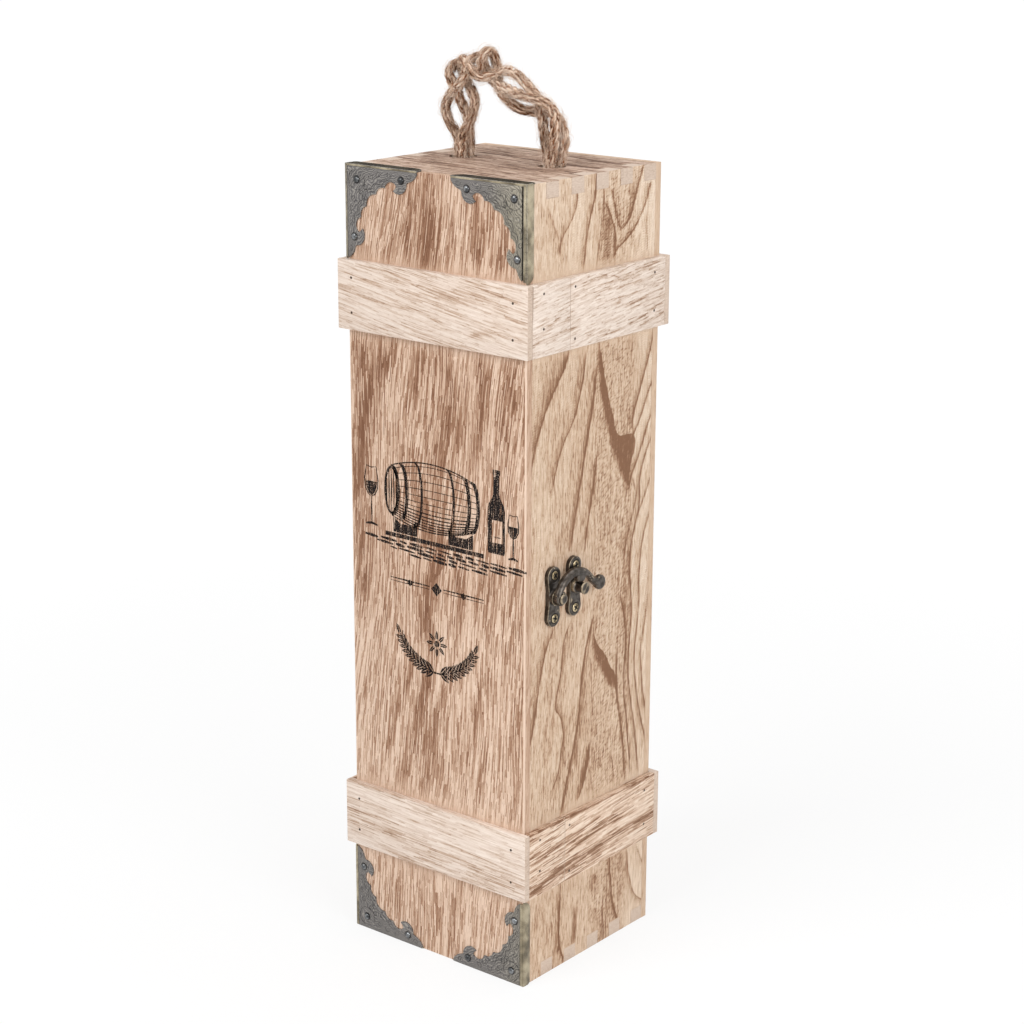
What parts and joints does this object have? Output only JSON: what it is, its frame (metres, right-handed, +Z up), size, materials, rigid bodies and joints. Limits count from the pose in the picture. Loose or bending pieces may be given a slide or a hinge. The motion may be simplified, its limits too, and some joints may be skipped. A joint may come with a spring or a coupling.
{
  "type": "wooden wine box",
  "caption": "Tall hinged wooden box for a wine bottle, with proud slat bands, scalloped corner brackets, a swing-hook latch and a stranded rope handle.",
  "frame": {"origin": "centre of the base, on the surface that the box stands on", "axes": "+Z up; the printed front, which is the lid, faces -Y; latch on the +X side, hinges on the -X side"},
  "size_m": [0.1162, 0.1006, 0.4075],
  "materials": {
    "front_wood": "planed, unvarnished, streaked",
    "side_wood": "planed, unvarnished, cathedral grain",
    "top_wood": "planed, unvarnished, darker",
    "band_wood": "planed, unvarnished, pale",
    "aged_brass": "pressed, aged, blue-grey to olive",
    "hinge_brass": "satin, dulled",
    "dark_bronze": "cast, dark patina, worn edges",
    "bright_brass": "bright",
    "nail_steel": "bright, rolled",
    "brad_steel": "dull",
    "jute": "twisted jute"
  },
  "bodies": {
    "case": {"back_panel": "side_wood", "case_left_wall": "side_wood", "case_right_wall": "side_wood", "case_top": "top_wood", "case_bottom": "side_wood", "upper_band_back": "band_wood", "upper_band_case_left": "band_wood", "upper_band_case_right": "band_wood", "lower_band_back": "band_wood", "lower_band_case_left": "band_wood", "lower_band_case_right": "band_wood", "case_band_brads": "brad_steel", "catch_plate": "dark_bronze", "catch_stud": "dark_bronze", "catch_plate_screws": "bright_brass", "upper_hinge_case_leaf": "hinge_brass", "lower_hinge_case_leaf": "hinge_brass", "hinge_pins": "hinge_brass", "case_hinge_screws": "hinge_brass", "rope_strand_1": "jute", "rope_strand_2": "jute", "rope_strand_3": "jute", "rope_knot_left": "jute", "rope_knot_right": "jute"},
    "lid": {"front_panel": "front_wood", "lid_left_rail": "side_wood", "lid_right_rail": "side_wood", "lid_top_rail": "top_wood", "lid_bottom_rail": "side_wood", "upper_band_front": "band_wood", "upper_band_lid_left": "band_wood", "upper_band_lid_right": "band_wood", "lower_band_front": "band_wood", "lower_band_lid_left": "band_wood", "lower_band_lid_right": "band_wood", "lid_band_brads": "brad_steel", "bracket_top_left": "aged_brass", "bracket_top_right": "aged_brass", "bracket_bottom_left": "aged_brass", "bracket_bottom_right": "aged_brass", "bracket_nails": "nail_steel", "hook_plate": "dark_bronze", "hook_plate_screws": "bright_brass", "hook_rivet": "dark_bronze", "upper_hinge_lid_leaf": "hinge_brass", "lower_hinge_lid_leaf": "hinge_brass", "lid_hinge_screws": "hinge_brass"},
    "hook": {"latch_hook": "dark_bronze"}
  },
  "joints": [
    {"name": "lid", "type": "hinge", "parent": "case", "child": "lid", "pos_m": [-0.0557, -0.0214, 0.18], "axis": [0, 0, -1], "range_deg": [0, 180]},
    {"name": "hook", "type": "hinge", "parent": "lid", "child": "hook", "pos_m": [0.0556, -0.0294, 0.18], "axis": [1, 0, 0], "range_deg": [0, 270]}
  ]
}
